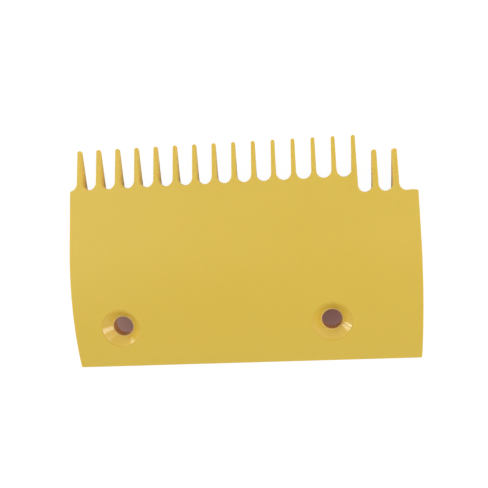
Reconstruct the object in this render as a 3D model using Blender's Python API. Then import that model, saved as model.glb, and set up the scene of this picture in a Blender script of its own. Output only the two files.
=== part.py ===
"""Escalator comb plate: one injection-moulded piece of yellow plastic.

Metres, +Z up. The plate stands on the feet of its blades, as it lies on a bench. X runs along the
row of teeth, +Y points at the tips, and the origin is the middle of its box, at the level of the feet.
While it is being modelled, x is measured from the left side and y from the rear edge.
"""

import math

import bmesh
import bpy
from mathutils import Vector

# Teeth
TOOTH_COUNT = 17
SET_BACK_COUNT = 2        # teeth at the right end that stand further back
PITCH = 0.008466          # centre to centre, a third of an inch, as the grooves of the steps
FOOT_WIDTH = 0.0015       # a blade's width at its foot
BLADE_DRAFT = 0.047       # how far each side of a blade leans out for a rise of 1
TOOTH_LENGTH = 0.01675    # bottom of a groove to the tip
TIP_HEIGHT = 0.0019       # foot of a long tooth to its top, at the very tip
TIP_SET_BACK = 0.0064     # how much further back the last tips are
ROOT_SET_BACK = 0.0066    # and the bottoms of their grooves
LEFT_MARGIN = 0.00407     # left side to the centre of the first tooth
RIGHT_MARGIN = 0.00879    # centre of the last tooth to the right side

# Body
PAD_LENGTH = 0.0300       # rear edge to the heel, where the plate butts against its carrier
BODY_LENGTH = 0.04615     # heel to the bottoms of the grooves
HEIGHT = 0.0232           # feet of the blades to the highest line of the arch
CREST = 0.0164            # rear edge to that line
ARCH_RADIUS = 0.1036
PAD_DEPTH = 0.0077        # highest line to the face that lies on the carrier
TREAD_CLEARANCE = 0.0048  # room under the body for the ridges of the steps

# Walls
SKIN = 0.0030             # the arched top, measured square to its face
PAD_WALL = 0.0030         # in front of the pad's pockets and behind them
SIDE_WALL = 0.0025
HEEL_WALL = 0.0025
RIB = 0.0020
FIN_STEP = 0.00005        # a blade is this much thicker on each side where it runs under the body
POCKET_WIDTH = 0.0120     # widest pocket between two ribs of the pad
BOSS_WALL = 0.0022        # round the countersink

# Screw holes, for M8 countersunk screws
HOLE_SPACING = 0.0906
HOLE_LEFT = 0.0204        # left side to the first hole
HOLE_REAR = 0.0179        # rear edge to both holes
BORE = 0.0086
LEDGE = 0.0004            # flat ring between the countersink and the bore
SINK = 0.0166             # the countersink's width at the highest line
SINK_ANGLE = math.radians(90.0)

# Rounding
CORNER = 0.0007           # upright corners of the body
NOSE = 0.0010             # end of a tooth, seen from the side
HEEL_ROUND = 0.0030       # rear end of a blade's foot
POCKET_ROUND = 0.0010     # upright corners of the pockets
EDGE_ROUND = 0.0003       # edges of the top face and rims of the countersinks
LIP_ROUND = 0.00015       # top of the bore
CREASE = math.radians(35.0)   # a sharper edge counts as an edge, to round and to shade as one

# Facets
FACET = math.radians(2.3)     # largest turn between two facets of the arch
GROOVE_STEPS = 12
TIP_STEPS = 6
NOSE_STEPS = 4
HOLE_STEPS = 64
ROUND_STEPS = 3
EDGE_STEPS = 2

BEYOND = 0.0020           # how far a cutter runs past what it cuts
SAME = 0.000001           # points closer than this are one
LEVEL = 0.01              # how far a normal may stray from those of the top face

YELLOW = (0.694, 0.497, 0.093, 1.0)
ROUGHNESS = 0.36

# Worked out from the values above
WIDTH = LEFT_MARGIN + (TOOTH_COUNT - 1) * PITCH + RIGHT_MARGIN
ROOT = PAD_LENGTH + BODY_LENGTH
LENGTH = ROOT + TOOTH_LENGTH
PAD_FACE = HEIGHT - PAD_DEPTH
ARCH_CENTRE = HEIGHT - ARCH_RADIUS
BOSS = SINK + 2 * BOSS_WALL
SINK_SLOPE = math.tan(SINK_ANGLE / 2)
SINK_FLOOR = HEIGHT - (SINK / 2 - BORE / 2 - LEDGE) / SINK_SLOPE
SHORTEST = 2 * max(CORNER, POCKET_ROUND)      # an end facet of the arch is at least this long


def tangent_angle():
    """Slope of the straight line that runs from the tips up to the arch and touches it."""
    along = LENGTH - CREST
    up = TIP_HEIGHT - ARCH_CENTRE
    return math.atan2(along, up) - math.acos(ARCH_RADIUS / math.hypot(along, up))


RAMP_ANGLE = tangent_angle()


def tooth_x(index):
    return LEFT_MARGIN + index * PITCH


def tip_y(index):
    """The tip of a tooth, counted from the left."""
    return LENGTH if index < TOOTH_COUNT - SET_BACK_COUNT else LENGTH - TIP_SET_BACK


def root_y(index):
    """The bottom of the groove to the left of a tooth."""
    return ROOT if index < TOOTH_COUNT - SET_BACK_COUNT else ROOT - ROOT_SET_BACK


def blade_half(z):
    """Half the width of a blade at a height."""
    return FOOT_WIDTH / 2 + BLADE_DRAFT * z


def face_height(y, depth=0.0):
    """Height of the top face, an arch that runs into a straight ramp, or of a face under it."""
    radius = ARCH_RADIUS - depth
    ramp_start = CREST + radius * math.sin(RAMP_ANGLE)
    if y < ramp_start:
        return ARCH_CENTRE + math.sqrt(radius ** 2 - (y - CREST) ** 2)
    return ARCH_CENTRE + radius * math.cos(RAMP_ANGLE) - math.tan(RAMP_ANGLE) * (y - ramp_start)


def arch_angles():
    """Where the facets of the arch meet, with none of the lines close beside a countersink."""
    clear = SINK / 2 + 2 * EDGE_ROUND
    marks = [math.asin((y - CREST) / ARCH_RADIUS) for y in (0.0, HOLE_REAR - clear, HOLE_REAR + clear)]
    marks.append(RAMP_ANGLE)
    angles = [marks[0]]
    for first, last in zip(marks, marks[1:]):
        steps = math.ceil((last - first) / FACET)
        angles += [first + (last - first) * step / steps for step in range(1, steps + 1)]
    return angles


def face_line(start, end, depth=0.0):
    """That face as (y, z) points, with the facets of the arch at the same angles at any depth."""
    stations = [start]
    for angle in arch_angles():
        y = CREST + (ARCH_RADIUS - depth) * math.sin(angle)
        if start + SHORTEST < y < end - SHORTEST:
            stations.append(y)
    stations.append(end)
    return [(y, face_height(y, depth)) for y in stations]


def arc(centre, radius, start, end, steps):
    """Points round a centre, from one angle to another in degrees."""
    points = []
    for step in range(steps + 1):
        angle = math.radians(start + (end - start) * step / steps)
        points.append((centre[0] + radius * math.cos(angle), centre[1] + radius * math.sin(angle)))
    return points


def nose_line(tip):
    """The end of a tooth from the side, rounded from the ramp down to the foot."""
    top = face_height(tip)
    widest = top / (1 + 1 / math.cos(RAMP_ANGLE) - math.tan(RAMP_ANGLE))
    nose = min(NOSE, widest)
    upper = (tip - nose, face_height(tip - nose) - nose / math.cos(RAMP_ANGLE))
    points = arc(upper, nose, 90 - math.degrees(RAMP_ANGLE), 0, NOSE_STEPS)
    return points + arc((tip - nose, nose), nose, 0, -90, NOSE_STEPS)


def loft(bm, lower, upper):
    """A closed solid between two outlines with the same number of points."""
    low = [bm.verts.new(point) for point in lower]
    high = [bm.verts.new(point) for point in upper]
    bm.faces.new(low)
    bm.faces.new(high)
    for i in range(len(low)):
        j = (i + 1) % len(low)
        bm.faces.new((low[i], low[j], high[j], high[i]))


def across(bm, outline, left, right):
    """A side outline of (y, z) points carried across X, where left and right give x at a height."""
    loft(bm, [(left(z), y, z) for y, z in outline], [(right(z), y, z) for y, z in outline])


def new_object(name, bm):
    bmesh.ops.remove_doubles(bm, verts=bm.verts, dist=SAME)
    bmesh.ops.recalc_face_normals(bm, faces=bm.faces)
    obj = bpy.data.objects.new(name, bpy.data.meshes.new(name))
    bpy.context.collection.objects.link(obj)
    write_back(obj, bm)
    return obj


def editable(obj):
    bm = bmesh.new()
    bm.from_mesh(obj.data)
    return bm


def write_back(obj, bm):
    bm.to_mesh(obj.data)
    bm.free()


def upright(edge):
    low, high = edge.verts
    return abs(high.co.z - low.co.z) > BEYOND


def round_edges(bm, edges, radius, steps):
    bmesh.ops.bevel(bm, geom=edges, offset=radius, segments=steps, profile=0.5, affect="EDGES")


def cut(target, cutter):
    """Cut one object out of another and remove the cutter."""
    modifier = target.modifiers.new("Cut", "BOOLEAN")
    modifier.operation = "DIFFERENCE"
    modifier.solver = "EXACT"
    modifier.object = cutter
    bpy.context.view_layer.update()
    evaluated = target.evaluated_get(bpy.context.evaluated_depsgraph_get())
    mesh = bpy.data.meshes.new_from_object(evaluated)
    target.modifiers.clear()
    target.data = mesh
    bpy.data.objects.remove(cutter)
    bm = editable(target)
    bmesh.ops.remove_doubles(bm, verts=bm.verts, dist=SAME)
    write_back(target, bm)


def blank():
    """The plate's side outline, from the feet of the blades to the arch, across the whole width."""
    outline = [(0.0, PAD_FACE)] + face_line(0.0, LENGTH - NOSE)[:-1] + nose_line(LENGTH)
    outline += arc((PAD_LENGTH + HEEL_ROUND, HEEL_ROUND), HEEL_ROUND, -90, -180, NOSE_STEPS)
    outline += [(PAD_LENGTH, PAD_FACE)]
    bm = bmesh.new()
    across(bm, outline, lambda z: 0.0, lambda z: WIDTH)
    corners = [edge for edge in bm.edges if upright(edge) and edge.verts[0].co.y < SAME]
    round_edges(bm, corners, CORNER, ROUND_STEPS)
    return new_object("comb_plate", bm)


def shoulder(x, outside, y):
    """The front corner of the body at one side, rounded, and the way out past that side."""
    inward = CORNER if outside < x else -CORNER
    start = 180 if outside < x else 0
    corner = arc((x + inward, y - CORNER), CORNER, start, 90, ROUND_STEPS)
    return [(outside, LENGTH + BEYOND), (outside, y - CORNER)] + corner


def comb_outline(z):
    """Outline, at a height, of all that is cut away between the teeth and in front of the body.

    The bottom of each groove and the tip of each tooth is a half circle."""
    half = blade_half(z)
    gap = PITCH / 2 - half
    points = []
    for index in range(TOOTH_COUNT + 1):
        root = root_y(index)
        centre = (tooth_x(index) - PITCH / 2, root + PITCH / 2 - blade_half(face_height(root)))
        if index == 0:
            start = 360 - math.degrees(math.acos((CORNER - centre[0]) / gap))
            side = arc(centre, gap, start, 360, GROOVE_STEPS // 2)
            points += shoulder(0.0, -PITCH, side[0][1])[:-1] + side
        elif index == TOOTH_COUNT:
            points += arc(centre, gap, 180, 270, GROOVE_STEPS // 2)
            points += reversed(shoulder(WIDTH, WIDTH + PITCH, centre[1] - gap))
        else:
            points += arc(centre, gap, 180, 360, GROOVE_STEPS)
        if index < TOOTH_COUNT:
            tip = tip_y(index)
            middle = (tooth_x(index), tip - blade_half(face_height(tip)))
            points += arc(middle, half, 180, 0, TIP_STEPS)
    return [(x, y, z) for x, y in points]


def grooves():
    bm = bmesh.new()
    loft(bm, comb_outline(-BEYOND), comb_outline(HEIGHT + BEYOND))
    return new_object("grooves", bm)


def set_back_noses():
    """Rounds the teeth that stand back, seen from the side, like the long ones."""
    outline = nose_line(LENGTH - TIP_SET_BACK)
    outline += [(outline[-1][0], -BEYOND), (LENGTH + BEYOND, -BEYOND)]
    outline += [(LENGTH + BEYOND, HEIGHT), (outline[0][0], HEIGHT)]
    first = tooth_x(TOOTH_COUNT - SET_BACK_COUNT) - PITCH / 2
    bm = bmesh.new()
    across(bm, outline, lambda z: first, lambda z: WIDTH + BEYOND)
    return new_object("set_back_noses", bm)


def round_top(plate):
    """Rounds the whole outline of the top face: sides, rear edge, grooves and teeth."""
    bm = editable(plate)
    steepest = math.cos(RAMP_ANGLE) - LEVEL
    outline = []
    for edge in bm.edges:
        on_top = [face.normal.z > steepest and abs(face.normal.x) < LEVEL for face in edge.link_faces]
        if on_top.count(True) == 1 and edge.calc_face_angle() > CREASE:
            outline.append(edge)
    round_edges(bm, outline, EDGE_ROUND, EDGE_STEPS)
    write_back(plate, bm)


def hollows():
    """The rooms between the blades, under the skin and under the heel wall."""
    front = ROOT + PITCH / 2
    outline = [(front, -BEYOND), (PAD_LENGTH - BEYOND, -BEYOND), (PAD_LENGTH - BEYOND, TREAD_CLEARANCE)]
    outline += [(PAD_LENGTH + HEEL_WALL, TREAD_CLEARANCE)]
    outline += face_line(PAD_LENGTH + HEEL_WALL, front, SKIN)
    sides = []
    for index in range(TOOTH_COUNT):
        sides.append((tooth_x(index) - FIN_STEP, tooth_x(index) + FIN_STEP))
    bm = bmesh.new()
    across(bm, outline, lambda z: -BEYOND, lambda z: sides[0][0] - blade_half(z))
    for (_, left), (right, _) in zip(sides, sides[1:]):
        across(bm, outline, lambda z: left + blade_half(z), lambda z: right - blade_half(z))
    across(bm, outline, lambda z: sides[-1][1] + blade_half(z), lambda z: WIDTH - SIDE_WALL)
    return new_object("hollows", bm)


def side_wall_clearance():
    """The right side wall stops above the ridges of the steps, as the heel wall does."""
    outline = [(PAD_LENGTH - BEYOND, -BEYOND), (LENGTH + BEYOND, -BEYOND)]
    outline += [(LENGTH + BEYOND, TREAD_CLEARANCE), (PAD_LENGTH - BEYOND, TREAD_CLEARANCE)]
    bm = bmesh.new()
    across(bm, outline, lambda z: WIDTH - 2 * SIDE_WALL, lambda z: WIDTH + BEYOND)
    return new_object("side_wall_clearance", bm)


def pad_pockets():
    """Pockets between the ribs of the pad that lies on the carrier."""
    outline = [(PAD_LENGTH - PAD_WALL, PAD_FACE - BEYOND), (PAD_WALL, PAD_FACE - BEYOND)]
    outline += face_line(PAD_WALL, PAD_LENGTH - PAD_WALL, SKIN)
    inside = WIDTH - 2 * SIDE_WALL
    count = math.ceil((inside + RIB) / (POCKET_WIDTH + RIB))
    pocket = (inside - (count - 1) * RIB) / count
    bm = bmesh.new()
    for index in range(count):
        left = SIDE_WALL + index * (pocket + RIB)
        across(bm, outline, lambda z: left, lambda z: left + pocket)
    round_edges(bm, [edge for edge in bm.edges if upright(edge)], POCKET_ROUND, ROUND_STEPS)
    pockets = new_object("pad_pockets", bm)
    cut(pockets, bosses())
    return pockets


def hole_centres():
    return [(HOLE_LEFT, HOLE_REAR), (HOLE_LEFT + HOLE_SPACING, HOLE_REAR)]


def turned(bm, profile, centre):
    """A profile of (radius, z) points turned round an upright axis."""
    rings = []
    for radius, z in profile:
        circle = bmesh.ops.create_circle(bm, cap_ends=False, segments=HOLE_STEPS, radius=radius)
        bmesh.ops.translate(bm, verts=circle["verts"], vec=(centre[0], centre[1], z))
        rings.append(circle["verts"])
    for low, high in zip(rings, rings[1:]):
        for i in range(HOLE_STEPS):
            j = (i + 1) % HOLE_STEPS
            bm.faces.new((low[i], low[j], high[j], high[i]))
    bm.faces.new(rings[0])
    bm.faces.new(rings[-1])


def bosses():
    """The material round the screw holes that the pockets leave standing."""
    bm = bmesh.new()
    for centre in hole_centres():
        turned(bm, [(BOSS / 2, PAD_FACE - 2 * BEYOND), (BOSS / 2, HEIGHT)], centre)
    return new_object("bosses", bm)


def screw_holes():
    """A plain bore under a countersink, with a ledge between them."""
    bm = bmesh.new()
    for centre in hole_centres():
        profile = [(BORE / 2, PAD_FACE - BEYOND), (BORE / 2, SINK_FLOOR)]
        profile += [(BORE / 2 + LEDGE, SINK_FLOOR)]
        profile += [(SINK / 2 + BEYOND * SINK_SLOPE, HEIGHT + BEYOND)]
        turned(bm, profile, centre)
    return new_object("screw_holes", bm)


def round_countersinks(plate):
    """Rounds the rim of each countersink and the top of its bore."""
    bm = editable(plate)
    mouths = []
    for vert in bm.verts:
        away = min(math.hypot(vert.co.x - x, vert.co.y - y) for x, y in hole_centres())
        if away < (SINK + BOSS) / 4 and vert.co.z > SINK_FLOOR - EDGE_ROUND:
            mouths.append(vert)
    bmesh.ops.remove_doubles(bm, verts=mouths, dist=EDGE_ROUND)
    inside = set(mouths)
    outward = [edge for edge in bm.edges if inside.issuperset(edge.verts)]
    outward = [edge for edge in outward if edge.calc_face_angle_signed() > CREASE]
    lips = [edge for edge in outward if edge.verts[0].co.z < SINK_FLOOR + SAME]
    rims = [edge for edge in outward if edge not in lips]
    round_edges(bm, rims, EDGE_ROUND, EDGE_STEPS)
    round_edges(bm, lips, LIP_ROUND, EDGE_STEPS)
    write_back(plate, bm)


def plastic():
    material = bpy.data.materials.new("yellow_plastic")
    material.use_nodes = True
    shader = material.node_tree.nodes["Principled BSDF"]
    shader.inputs["Base Color"].default_value = YELLOW
    shader.inputs["Roughness"].default_value = ROUGHNESS
    shader.inputs["Metallic"].default_value = 0.0
    return material


def place(plate):
    """Moves the plate to its origin, under the middle of its box."""
    corners = [Vector(corner) for corner in plate.bound_box]
    middle = (corners[0] + corners[6]) / 2
    bm = editable(plate)
    bmesh.ops.translate(bm, verts=bm.verts, vec=(-middle.x, -middle.y, 0.0))
    write_back(plate, bm)


def main():
    for old in list(bpy.data.objects):
        bpy.data.objects.remove(old)
    plate = blank()
    cut(plate, grooves())
    cut(plate, set_back_noses())
    round_top(plate)
    cut(plate, hollows())
    cut(plate, side_wall_clearance())
    cut(plate, pad_pockets())
    cut(plate, screw_holes())
    round_countersinks(plate)
    place(plate)
    plate.data.materials.append(plastic())
    plate.data.shade_smooth()
    plate.data.set_sharp_from_angle(angle=CREASE)


main()
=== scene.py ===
# %% [markdown]
# # A yellow escalator comb plate
#
# The comb plate is the toothed strip at the end of an escalator. Its teeth reach into the grooves
# of the steps, so that nothing is drawn in where the steps slide under the floor. This one is a
# single moulding of yellow plastic, and it is photographed from above on pure white.
#
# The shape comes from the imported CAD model. It is loaded first, and its box is kept, because
# nothing that is done here may make the part larger or smaller.

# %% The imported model
import math
import bpy
from mathutils import Matrix, Vector


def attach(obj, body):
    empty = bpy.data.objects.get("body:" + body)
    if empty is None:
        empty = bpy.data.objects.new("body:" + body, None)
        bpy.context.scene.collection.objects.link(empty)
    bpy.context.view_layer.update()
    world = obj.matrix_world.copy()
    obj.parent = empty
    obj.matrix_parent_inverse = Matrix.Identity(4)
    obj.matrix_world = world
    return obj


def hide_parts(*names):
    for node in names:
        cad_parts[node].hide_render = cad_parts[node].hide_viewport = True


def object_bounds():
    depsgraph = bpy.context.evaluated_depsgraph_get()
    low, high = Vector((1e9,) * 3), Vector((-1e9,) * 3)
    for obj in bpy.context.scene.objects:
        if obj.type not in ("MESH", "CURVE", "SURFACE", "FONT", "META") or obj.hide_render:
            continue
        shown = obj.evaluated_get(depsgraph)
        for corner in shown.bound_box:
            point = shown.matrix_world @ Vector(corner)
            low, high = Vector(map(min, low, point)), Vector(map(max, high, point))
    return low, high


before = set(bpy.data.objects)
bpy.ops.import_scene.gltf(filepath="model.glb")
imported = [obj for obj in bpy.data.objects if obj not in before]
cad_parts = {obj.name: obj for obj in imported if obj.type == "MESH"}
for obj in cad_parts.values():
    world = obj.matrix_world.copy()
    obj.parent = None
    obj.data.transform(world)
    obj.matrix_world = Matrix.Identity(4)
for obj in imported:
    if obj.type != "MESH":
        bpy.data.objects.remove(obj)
cad_low, cad_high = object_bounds()
size = cad_high - cad_low
print("plate:", [round(1000 * side, 1) for side in size], "mm")

# %% [markdown]
# ## Helpers for modelling as by hand
#
# An operator works on everything that is selected, so each step starts by selecting one object
# and nothing else.

# %% Selecting one object


def pick(obj):
    """Makes obj the only selected object, and the active one."""
    bpy.ops.object.select_all(action="DESELECT")
    obj.select_set(True)
    bpy.context.view_layer.objects.active = obj


def apply_modifier(obj, kind, **settings):
    """Adds a modifier to obj, sets it and applies it."""
    pick(obj)
    modifier = obj.modifiers.new(kind.title(), kind)
    for name, value in settings.items():
        setattr(modifier, name, value)
    bpy.ops.object.modifier_apply(modifier=modifier.name)


print("helpers for selecting ready")

# %% [markdown]
# ## The moulding
#
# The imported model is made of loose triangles. A moulding is one smooth skin, so a copy of the
# triangles is welded together and the flat areas are joined up again. The copy then takes the
# place of the CAD part.
#
# The sleek radius round the top face, the ledges and the lips are already in the CAD model, so
# nothing is bevelled here.

# %% The welded copy
WELD_DISTANCE = 0.000002
FLAT_ANGLE = math.radians(0.05)

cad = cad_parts["comb_plate"]
plate = bpy.data.objects.new("moulded_plate", cad.data.copy())
bpy.context.collection.objects.link(plate)
pick(plate)
bpy.ops.object.mode_set(mode="EDIT")
bpy.ops.mesh.select_all(action="SELECT")
bpy.ops.mesh.remove_doubles(threshold=WELD_DISTANCE)
bpy.ops.mesh.dissolve_limited(angle_limit=FLAT_ANGLE)
bpy.ops.object.mode_set(mode="OBJECT")
print("welded copy:", len(plate.data.vertices), "corners,", len(plate.data.polygons), "faces")

# %% [markdown]
# ## Smooth shading
#
# The arch of the top face is made of long flat strips. On the real part it is one even curve, and
# a reflection glides over it. More strips would help a little, but the plate can also be told
# which way its surface really faces: the arch is part of a cylinder and the ramp in front of it
# is flat, so both directions can be worked out and set as normals. Elsewhere, normals that are
# weighted by the area of the faces keep flat faces flat and let the roundings turn smoothly.
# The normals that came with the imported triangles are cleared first. They no longer fit the joined
# faces, and the search for sharp edges would be misled by them.

# %% Directions of the top face
ARCH_RADIUS = 0.1036
CREST = 0.0164
REAR = cad_low.y
ARCH_CENTRE = Vector((0.0, REAR + CREST, cad_high.z - ARCH_RADIUS))
TIP_HEIGHT = 0.0019
ON_FACE = 0.00006

along = cad_high.y - ARCH_CENTRE.y
up = TIP_HEIGHT - ARCH_CENTRE.z
RAMP_ANGLE = math.atan2(along, up) - math.acos(ARCH_RADIUS / math.hypot(along, up))
RAMP_START = ARCH_CENTRE.y + ARCH_RADIUS * math.sin(RAMP_ANGLE)


def face_direction(point):
    """Which way the top face looks at a point, or None where the point isn't on that face."""
    if point.y < RAMP_START:
        offset = Vector((0.0, point.y - ARCH_CENTRE.y, point.z - ARCH_CENTRE.z))
        return offset.normalized() if abs(offset.length - ARCH_RADIUS) < ON_FACE else None
    ramp = Vector((0.0, math.sin(RAMP_ANGLE), math.cos(RAMP_ANGLE)))
    away = (point - ARCH_CENTRE).dot(ramp) - ARCH_RADIUS
    return ramp if abs(away) < ON_FACE else None


print("ramp:", round(math.degrees(RAMP_ANGLE), 1), "degrees")

# %% Normals of the whole plate
SHARP_ANGLE = math.radians(35.0)
LOOKS_UP = 0.9
NEARLY_PARALLEL = 0.995

pick(plate)
bpy.ops.mesh.customdata_custom_splitnormals_clear()
bpy.ops.object.shade_smooth_by_angle(angle=SHARP_ANGLE)
apply_modifier(plate, "WEIGHTED_NORMAL", keep_sharp=True, weight=50)
mesh = plate.data
normals = [Vector(corner.vector) for corner in mesh.corner_normals]
on_face = 0
for polygon in mesh.polygons:
    if polygon.normal.z < LOOKS_UP:
        continue
    for loop in polygon.loop_indices:
        direction = face_direction(mesh.vertices[mesh.loops[loop].vertex_index].co)
        if direction and direction.dot(polygon.normal) > NEARLY_PARALLEL:
            normals[loop] = direction
            on_face += 1
mesh.normals_split_custom_set(normals)
print("normals set on the top face:", on_face)

# %% [markdown]
# ## Materials out of expressions
#
# A procedural material is a small calculation. Written as nodes and links it is hard to read, so
# a small class wraps a socket and lets Python's own signs add the Math nodes.

# %% Sockets that can be added and multiplied


class Value:
    """One output socket of a material. Its signs add Math nodes."""

    def __init__(self, recipe, socket):
        self.recipe = recipe
        self.socket = socket

    def maths(self, operation, *others):
        return self.recipe.node("ShaderNodeMath", {"operation": operation}, [self, *others])

    def __add__(self, other):
        return self.maths("ADD", other)

    def __radd__(self, other):
        return self.maths("ADD", other)

    def __sub__(self, other):
        return self.maths("SUBTRACT", other)

    def __rsub__(self, other):
        return self.recipe.node("ShaderNodeMath", {"operation": "SUBTRACT"}, [other, self])

    def __mul__(self, other):
        return self.maths("MULTIPLY", other)

    def __rmul__(self, other):
        return self.maths("MULTIPLY", other)

    def clamped(self):
        return self.maths("MINIMUM", 1.0).maths("MAXIMUM", 0.0)


print("sockets wrapped by", Value.__name__)

# %% The nodes of one material


class Recipe:
    """The node tree of one material, or of the world."""

    def __init__(self, owner):
        owner.use_nodes = True
        self.tree = owner.node_tree
        self.tree.nodes.clear()

    def node(self, kind, settings=None, inputs=None, output=0):
        """Adds a node, sets it, fills its inputs and returns one of its outputs."""
        made = self.tree.nodes.new(kind)
        for name, value in (settings or {}).items():
            setattr(made, name, value)
        pairs = inputs.items() if isinstance(inputs, dict) else enumerate(inputs or [])
        for name, value in pairs:
            if isinstance(value, Value):
                self.tree.links.new(value.socket, made.inputs[name])
            else:
                made.inputs[name].default_value = value
        return Value(self, made.outputs[output])

    def position(self):
        """The point on the surface, in metres, in the object's own frame."""
        return self.node("ShaderNodeTexCoord", output="Object")

    def along(self, axis):
        """How far along X, Y or Z that point lies."""
        return self.node("ShaderNodeSeparateXYZ", None, [self.position()], axis)

    def away_from(self, centre):
        """How far the point lies from an upright line through a centre, in metres."""
        offset = self.node("ShaderNodeVectorMath", {"operation": "SUBTRACT"}, [self.position(), centre])
        flat = self.node("ShaderNodeVectorMath", {"operation": "MULTIPLY"}, [offset, (1.0, 1.0, 0.0)])
        return self.node("ShaderNodeVectorMath", {"operation": "LENGTH"}, [flat], "Value")

    def noise(self, scale, detail, roughness=0.5):
        """A soft random pattern between 0 and 1. A higher scale makes it finer."""
        values = {"Vector": self.position(), "Scale": scale, "Detail": detail, "Roughness": roughness}
        return self.node("ShaderNodeTexNoise", None, values, "Fac")

    def smooth(self, value, low, high, at_low=0.0, at_high=1.0):
        """Goes from at_low to at_high as value goes from low to high, and stays there."""
        settings = {"interpolation_type": "SMOOTHSTEP"}
        inputs = {"Value": value, "From Min": low, "From Max": high}
        inputs.update({"To Min": at_low, "To Max": at_high})
        return self.node("ShaderNodeMapRange", settings, inputs, "Result")

    def blend(self, factor, first, second):
        """A colour between two colours."""
        settings = {"data_type": "RGBA", "blend_type": "MIX"}
        return self.node("ShaderNodeMix", settings, {0: factor, 6: first, 7: second}, 2)

    def finish(self, shader, kind="ShaderNodeOutputMaterial"):
        """Links a shader to the end of the tree."""
        end = self.tree.nodes.new(kind)
        self.tree.links.new(shader.socket, end.inputs["Surface"])


print("node trees built by", Recipe.__name__)

# %% [markdown]
# ## Yellow plastic
#
# The plate is taken to be moulded in a signal yellow that runs through the material, in a finely
# etched mould, so the surface has a short, soft gloss. Three things keep it from looking like
# paint. The gloss changes a little from place to place, as if the melt cooled at different speeds.
# The surface has a grain that is only some thousandths of a millimetre deep. And light travels a
# millimetre or two inside the plastic, which softens the shade on the thin teeth.
#
# All of this could be painted on an image that is wrapped round the part. Noise on the part's own
# coordinates is used instead, because it has no seams and stays sharp from close by.

# %% Colour and gloss of the bare plastic
YELLOW = (0.655, 0.470, 0.060, 1.0)
PALE_YELLOW = (0.675, 0.487, 0.070, 1.0)

plastic = bpy.data.materials.new("etched_yellow_plastic")
recipe = Recipe(plastic)
flow = recipe.noise(28.0, detail=2.0)
mottle = recipe.noise(260.0, detail=3.0)
grain = recipe.noise(5200.0, detail=2.0, roughness=0.6)
colour = recipe.blend((flow * 0.7 + mottle * 0.3).clamped(), YELLOW, PALE_YELLOW)
etched = recipe.smooth(flow + mottle * 0.4, 0.45, 0.95, 0.43, 0.51)
print("bare plastic:", len(recipe.tree.nodes), "nodes")

# %% [markdown]
# ## The walls between the teeth
#
# On the real plate these walls are most likely the same plastic as the rest. In the photograph
# they are a little warmer than the top face and almost as light, and get darker towards the table.
# The lamps here leave them darker than that, and more light from the sides would reach the top
# face too. So the walls get a lighter, warmer yellow of their own, mostly near the two ends of the
# plate, where the lens sees them. The paint stands in for light that is missing, and under other
# light it can look too bright. The mask follows how far a point lies below the ramp.

# %% The mask of the walls
WALL_YELLOW = (0.810, 0.575, 0.085, 1.0)

forward = recipe.along("Y")
along_ramp = (forward - ARCH_CENTRE.y) * math.sin(RAMP_ANGLE)
below_ramp = ARCH_RADIUS - along_ramp - (recipe.along("Z") - ARCH_CENTRE.z) * math.cos(RAMP_ANGLE)
wall = recipe.smooth(below_ramp, 0.0001, 0.0004) * recipe.smooth(below_ramp, 0.0080, 0.0028)
between_teeth = recipe.smooth(forward, 0.016, 0.021) * recipe.smooth(forward, 0.043, 0.035, 0.3, 1.0)
near_ends = recipe.smooth(recipe.along("X").maths("ABSOLUTE"), 0.035, 0.058, 0.3, 1.0)
colour = recipe.blend(wall * between_teeth * near_ends, colour, WALL_YELLOW)
print("with the walls:", len(recipe.tree.nodes), "nodes")

# %% [markdown]
# ## The screw holes
#
# Each hole is only about forty pixels wide in the photograph, so its finish is a likely reading
# and not a certain one. The countersinks look turned: they have faint rings and are much smoother
# than the top face, so they show narrow streaks of light. Each countersink rim is painted darker,
# as painted shade at its edge. The ledge round each bore is painted pale, as a painted highlight,
# and the bores are painted brown, as painted shade.
#
# Each of these places could have its own material on its own faces. Masks that follow the distance
# from the middle of the hole are simpler, and they let one finish fade into the next.

# %% Where the screw holes are
HOLES = [Vector((-0.053758, -0.028537, 0.0)), Vector((0.036842, -0.028537, 0.0))]
BORE_RADIUS = 0.0043
LEDGE = 0.0004
SINK_RADIUS = 0.0083
SINK_FLOOR = 0.0194
RING_STEP = 0.0006

radius = recipe.away_from(HOLES[0]).maths("MINIMUM", recipe.away_from(HOLES[1]))
above = recipe.smooth(recipe.along("Z"), SINK_FLOOR - 0.0020, SINK_FLOOR - 0.0010)
turned = recipe.smooth(radius, SINK_RADIUS + 0.0001, SINK_RADIUS - 0.0003) * above
from_rim = (radius - SINK_RADIUS).maths("ABSOLUTE")
# A darker ring is painted on each countersink rim: painted shade at its edge.
rim_shade = recipe.smooth(from_rim, 0.00035, 0.00010) * above
from_ledge = (radius - (BORE_RADIUS + LEDGE / 2)).maths("ABSOLUTE")
# A pale ring is painted on the ledge round each bore: a painted highlight.
ledge_highlight = recipe.smooth(from_ledge, LEDGE, LEDGE / 2) * above
# The bore walls are painted brown: painted shade inside the bores.
bore_shade = recipe.smooth(radius, BORE_RADIUS + 0.00012, BORE_RADIUS + 0.00002)
rings = (radius * (2 * math.pi / RING_STEP)).maths("SINE") * 0.5 + 0.5
print("screw holes:", len(HOLES), "with bores of", round(2000 * BORE_RADIUS, 1), "mm")

# %% Colours of the screw holes
TURNED_YELLOW = (0.685, 0.466, 0.070, 1.0)
# Painted shade for the countersink rims.
RIM_SHADE_YELLOW = (0.560, 0.370, 0.040, 1.0)
# A painted highlight for the ledges round the bores.
LEDGE_HIGHLIGHT_YELLOW = (0.780, 0.560, 0.200, 1.0)
# Painted shade for the bore walls.
BORE_SHADE_BROWN = (0.500, 0.250, 0.085, 1.0)

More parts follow.
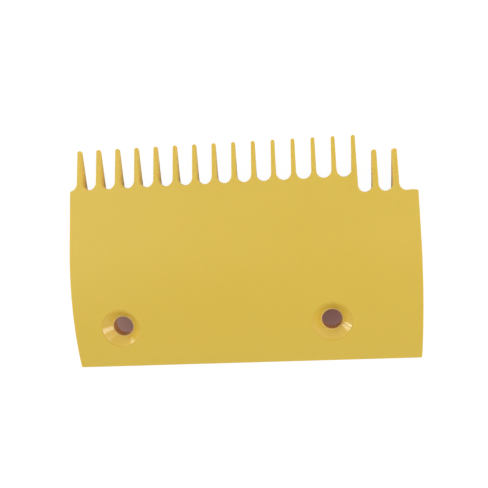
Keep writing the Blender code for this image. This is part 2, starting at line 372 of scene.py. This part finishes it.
colour = recipe.blend(turned * (rings * 0.5 + 0.5), colour, TURNED_YELLOW)
colour = recipe.blend(rim_shade * 0.6, colour, RIM_SHADE_YELLOW)
colour = recipe.blend(ledge_highlight * 0.8, colour, LEDGE_HIGHLIGHT_YELLOW)
colour = recipe.blend(bore_shade, colour, BORE_SHADE_BROWN)
print("with the screw holes:", len(recipe.tree.nodes), "nodes")

# %% The finished plastic
TURNED_ROUGHNESS = 0.16
GRAIN_DEPTH = 0.00002

height = grain * (1 - turned) + rings * turned * 0.6
bump = recipe.node("ShaderNodeBump", None, {"Strength": 0.25, "Distance": GRAIN_DEPTH, "Height": height})
shader = recipe.node(
    "ShaderNodeBsdfPrincipled",
    None,
    {
        "Base Color": colour,
        "Roughness": etched * (1 - turned) + turned * TURNED_ROUGHNESS,
        "Normal": bump,
        "IOR": 1.49,
        "Subsurface Weight": 0.30,
        "Subsurface Radius": (1.0, 0.6, 0.15),
        "Subsurface Scale": 0.0016,
    },
)
recipe.finish(shader)
plate.data.materials.clear()
plate.data.materials.append(plastic)
print("material:", plastic.name, len(recipe.tree.nodes), "nodes")

# %% The plate rides on the model's body
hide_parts("comb_plate")
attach(plate, "root")
print("faces of the plate:", len(plate.data.polygons))

# %% [markdown]
# ## The table
#
# The background of the photograph is pure white. The table is therefore plain and pale, and round
# the plate it looks mostly white to the camera and in reflections, whatever the light on it. A
# small part of the real shading is kept, so that the plate still has a faint shadow. Under the
# plate the table is shaded as usual.
#
# What shows through the two screw holes is pinkish brown in the photograph. What it is can't be
# told from above, so the table is painted brown in a band under the rear of the plate, in its
# shadow and below the holes: painted shade, with wide soft edges.

# %% The table's paint
PALE_PAINT = (0.90, 0.86, 0.83, 1.0)
# Painted shade: a brown laid on the table only where the plate shades it.
SHADE_BROWN_AT_LEFT = (0.470, 0.300, 0.310, 1.0)
SHADE_BROWN_AT_RIGHT = (0.574, 0.358, 0.406, 1.0)

table_paint = bpy.data.materials.new("pale_table")
recipe = Recipe(table_paint)
x = recipe.along("X")
y = recipe.along("Y")
across = recipe.smooth(x.maths("ABSOLUTE"), 0.074, 0.063)
from_rear = recipe.smooth(y, -0.0475, -0.0385)
to_heel = recipe.smooth(y, -0.010, -0.020)
# The brown is painted shade, laid only in the plate's shadow.
shade_brown = recipe.blend(recipe.smooth(x, -0.055, 0.035), SHADE_BROWN_AT_LEFT, SHADE_BROWN_AT_RIGHT)
paint = recipe.blend(across * from_rear * to_heel, PALE_PAINT, shade_brown)
matt = recipe.node("ShaderNodeBsdfDiffuse", None, {"Color": paint})
print("paint of the table:", len(recipe.tree.nodes), "nodes")

# %% The white round the plate
TABLE_WHITE = (1.06, 1.07, 1.08, 1.0)

to_camera = recipe.node("ShaderNodeLightPath", output="Is Camera Ray")
to_gloss = recipe.node("ShaderNodeLightPath", output="Is Glossy Ray")
through = recipe.node("ShaderNodeLightPath", output="Is Transmission Ray")
seen = (to_camera + to_gloss * 0.4 + through).clamped() * 0.9
sideways = recipe.smooth(x.maths("ABSOLUTE"), 0.068, 0.077)
ahead = recipe.smooth(y, 0.008, 0.022)
behind = recipe.smooth(y, -0.0405, -0.0510)
outside = sideways.maths("MAXIMUM", ahead).maths("MAXIMUM", behind)
glow = recipe.node("ShaderNodeEmission", None, {"Color": TABLE_WHITE, "Strength": 1.0})
both = recipe.node("ShaderNodeMixShader", None, {0: seen * outside, 1: matt, 2: glow})
recipe.finish(both)
print("material:", table_paint.name, len(recipe.tree.nodes), "nodes")

# %% The table top
bpy.ops.mesh.primitive_plane_add(size=3.0, location=(0.0, 0.0, 0.0))
table = bpy.context.object
table.name = "table_top"
table.data.materials.append(table_paint)
print("table:", table.name)

# %% [markdown]
# ## The light
#
# Parts like this are often photographed in a light tent. The white walls of the tent light the
# part evenly from all sides, and its roof, with the hole for the lens, is darker. Two large panels
# in front of the teeth, high on the left and on the right, add soft shadows.
#
# Four small boxes stand lower. A countersink is a steep cone and mirrors only what is low over the
# table, so these boxes show as its streaks of light. The ray from the lens was followed from each
# streak to find about where its box belongs.

# %% The dome
PLAIN_WHITE = (1.0, 1.0, 1.0, 1.0)
WARM_WHITE = (1.0, 0.985, 0.965, 1.0)

world = bpy.data.worlds.new("light_tent")
bpy.context.scene.world = world
recipe = Recipe(world)
camera_ray = recipe.node("ShaderNodeLightPath", output="Is Camera Ray")
direction = recipe.node("ShaderNodeTexCoord", output="Generated")
upward = recipe.node("ShaderNodeSeparateXYZ", None, [direction], "Z")
walls = recipe.smooth(upward, 0.50, 0.95, 0.92, 0.28)
strength = walls.maths("MAXIMUM", camera_ray)
cloth = recipe.blend(camera_ray, WARM_WHITE, PLAIN_WHITE)
dome = recipe.node("ShaderNodeBackground", None, {"Color": cloth, "Strength": strength})
recipe.finish(dome, "ShaderNodeOutputWorld")
print("world:", world.name)

# %% The soft boxes
PLATE_MIDDLE = (0.0, 0.0, 0.0)
NEAR_LEFT_HOLE = (-0.054, -0.03, 0.02)
NEAR_RIGHT_HOLE = (0.037, -0.03, 0.02)


def soft_box(name, place, aim, width, height, power, tint=(1.0, 1.0, 1.0)):
    """A rectangular lamp at a place, turned to face a point."""
    lamp = bpy.data.lights.new(name, "AREA")
    lamp.shape = "RECTANGLE"
    lamp.size = width
    lamp.size_y = height
    lamp.energy = power
    lamp.color = tint
    obj = bpy.data.objects.new(name, lamp)
    obj.location = place
    obj.rotation_euler = (Vector(aim) - Vector(place)).to_track_quat("-Z", "Y").to_euler()
    bpy.context.collection.objects.link(obj)


soft_box("front_left_panel", (-0.93, 0.47, 1.08), PLATE_MIDDLE, 1.6, 0.7, 5.8, (0.98, 1.0, 0.95))
soft_box("front_right_panel", (1.00, 0.29, 0.94), PLATE_MIDDLE, 1.4, 0.45, 5.3, (1.0, 0.96, 0.90))
soft_box("left_box", (-1.260, -0.040, 0.308), NEAR_RIGHT_HOLE, 0.10, 0.22, 1.6)
soft_box("left_fan", (-1.176, 0.272, 0.332), NEAR_RIGHT_HOLE, 0.32, 0.18, 1.2)
soft_box("low_left_box", (-1.137, 0.595, 0.218), NEAR_LEFT_HOLE, 0.30, 0.16, 0.7)
soft_box("right_box", (1.068, -0.188, 0.516), NEAR_LEFT_HOLE, 0.50, 0.20, 2.2, (1.0, 0.94, 0.93))
print("lamps:", [lamp.name for lamp in bpy.data.lights])

# %% [markdown]
# ## The camera
#
# The camera's place and lens were worked out from the photograph: the teeth are evenly spaced, so
# their pictures tell how far away and how tilted the lens was. It hangs above the front half of
# the plate. The small shifts move the picture in its frame, as a crop of a larger one would.
#
# The place was worked out in tooth spacings, from the rear edge of the plate in line with the
# first tooth, and it is turned into metres here.

# %% Where the lens is
PITCH = 0.008466
FIRST_TOOTH = cad_low.x + 0.00407
TURNS = (0.2475, -0.0747, 0.0402)
AIM = Vector((8.0, 4.0, 0.0))
OFFSET = Vector((-1.5673, -0.3167, -26.4136))

turn = Matrix.Rotation(TURNS[2], 3, "Z") @ Matrix.Rotation(TURNS[1], 3, "Y")
turn = turn @ Matrix.Rotation(TURNS[0], 3, "X")
lens_point = AIM - turn.transposed() @ OFFSET
place = Vector((FIRST_TOOTH, REAR, cad_high.z)) + PITCH * lens_point
print("lens at", [round(1000 * value) for value in place], "mm")

# %% The camera
data = bpy.data.cameras.new("photo_camera")
data.sensor_width = 36.0
data.lens = 39.7
data.shift_x = -0.0506
data.shift_y = 0.0775
data.clip_start = 0.01
camera = bpy.data.objects.new("photo_camera", data)
camera.matrix_world = Matrix.Translation(place) @ turn.transposed().to_4x4()
bpy.context.collection.objects.link(camera)
bpy.context.scene.camera = camera
print("camera:", camera.name)

# %% [markdown]
# ## Colour
#
# The Standard view shows a colour as it is written.

# %% The view
bpy.context.scene.view_settings.view_transform = "Standard"
